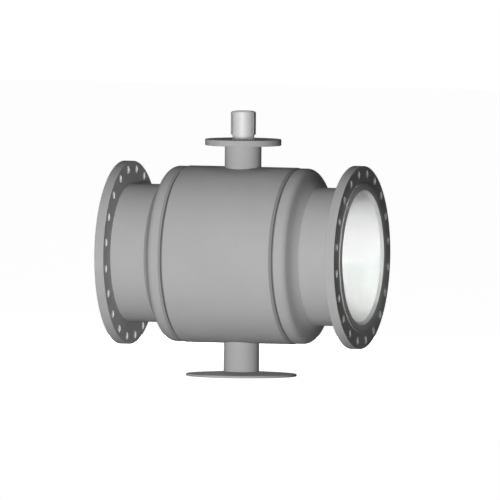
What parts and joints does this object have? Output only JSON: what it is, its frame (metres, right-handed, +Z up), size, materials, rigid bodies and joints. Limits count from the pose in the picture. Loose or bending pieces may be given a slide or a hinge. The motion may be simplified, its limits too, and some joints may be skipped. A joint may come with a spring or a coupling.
{
  "type": "flanged ball valve",
  "caption": "Fully welded trunnion ball valve with flanged necks, a bare keyed stem on an actuator flange, and a round foot.",
  "frame": {"origin": "centre of the underside of the foot plate, below the crossing of the stem and pipe axes", "axes": "+X along the pipe to the right-hand flange, +Z up the stem, +Y horizontal across the pipe, away from the viewer"},
  "size_m": [1.165, 0.84, 1.216],
  "materials": {
    "grey_paint": "satin grey primer paint",
    "ball_steel": "hard chromed and polished",
    "polished_steel": "turned and polished",
    "key_steel": "ground",
    "turned_steel": "turned",
    "screw_steel": "blackened",
    "spring_steel": "tempered",
    "weld_metal": "as welded",
    "bush_bronze": "turned bronze",
    "packing_graphite": "pressed graphite",
    "seat_plastic": "fluoropolymer, satin",
    "seal_rubber": "smooth moulded"
  },
  "bodies": {
    "valve_body": {"body_shell": "grey_paint", "stem_housing": "grey_paint", "top_flange": "grey_paint", "support_tube": "grey_paint", "foot_plate": "grey_paint", "left_end_closure": "grey_paint", "left_neck_tube": "grey_paint", "left_flange": "grey_paint", "right_end_closure": "grey_paint", "right_neck_tube": "grey_paint", "right_flange": "grey_paint", "lower_bush": "bush_bronze", "upper_bush": "bush_bronze", "upper_thrust_washer": "bush_bronze", "lower_thrust_washer": "bush_bronze", "packing_rings": "packing_graphite", "gland": "turned_steel", "gland_screws": "screw_steel", "trunnion_pin": "turned_steel", "left_body_weld": "weld_metal", "left_neck_weld": "weld_metal", "left_seat_spring": "spring_steel", "right_body_weld": "weld_metal", "right_neck_weld": "weld_metal", "right_seat_spring": "spring_steel"},
    "ball_and_stem": {"ball": "ball_steel", "stem": "polished_steel", "left_key": "key_steel", "right_key": "key_steel", "stem_o_rings": "seal_rubber", "trunnion_bush": "bush_bronze"},
    "left_seat": {"left_seat_retainer": "turned_steel", "left_seat_ring": "seat_plastic", "left_seat_o_ring": "seal_rubber"},
    "right_seat": {"right_seat_retainer": "turned_steel", "right_seat_ring": "seat_plastic", "right_seat_o_ring": "seal_rubber"}
  },
  "joints": [
    {"name": "ball_turn", "type": "hinge", "parent": "valve_body", "child": "ball_and_stem", "pos_m": [0, 0, 0.555], "axis": [0, 0, 1], "range_deg": [-90, 0]},
    {"name": "left_seat_slide", "type": "slide", "parent": "valve_body", "child": "left_seat", "axis": [-1, 0, 0], "range_m": [0, 0.0015], "stiffness_N_per_m": 400000, "springref_m": -0.002, "deforming": ["left_seat_spring"]},
    {"name": "right_seat_slide", "type": "slide", "parent": "valve_body", "child": "right_seat", "axis": [1, 0, 0], "range_m": [0, 0.0015], "stiffness_N_per_m": 400000, "springref_m": -0.002, "deforming": ["right_seat_spring"]}
  ]
}
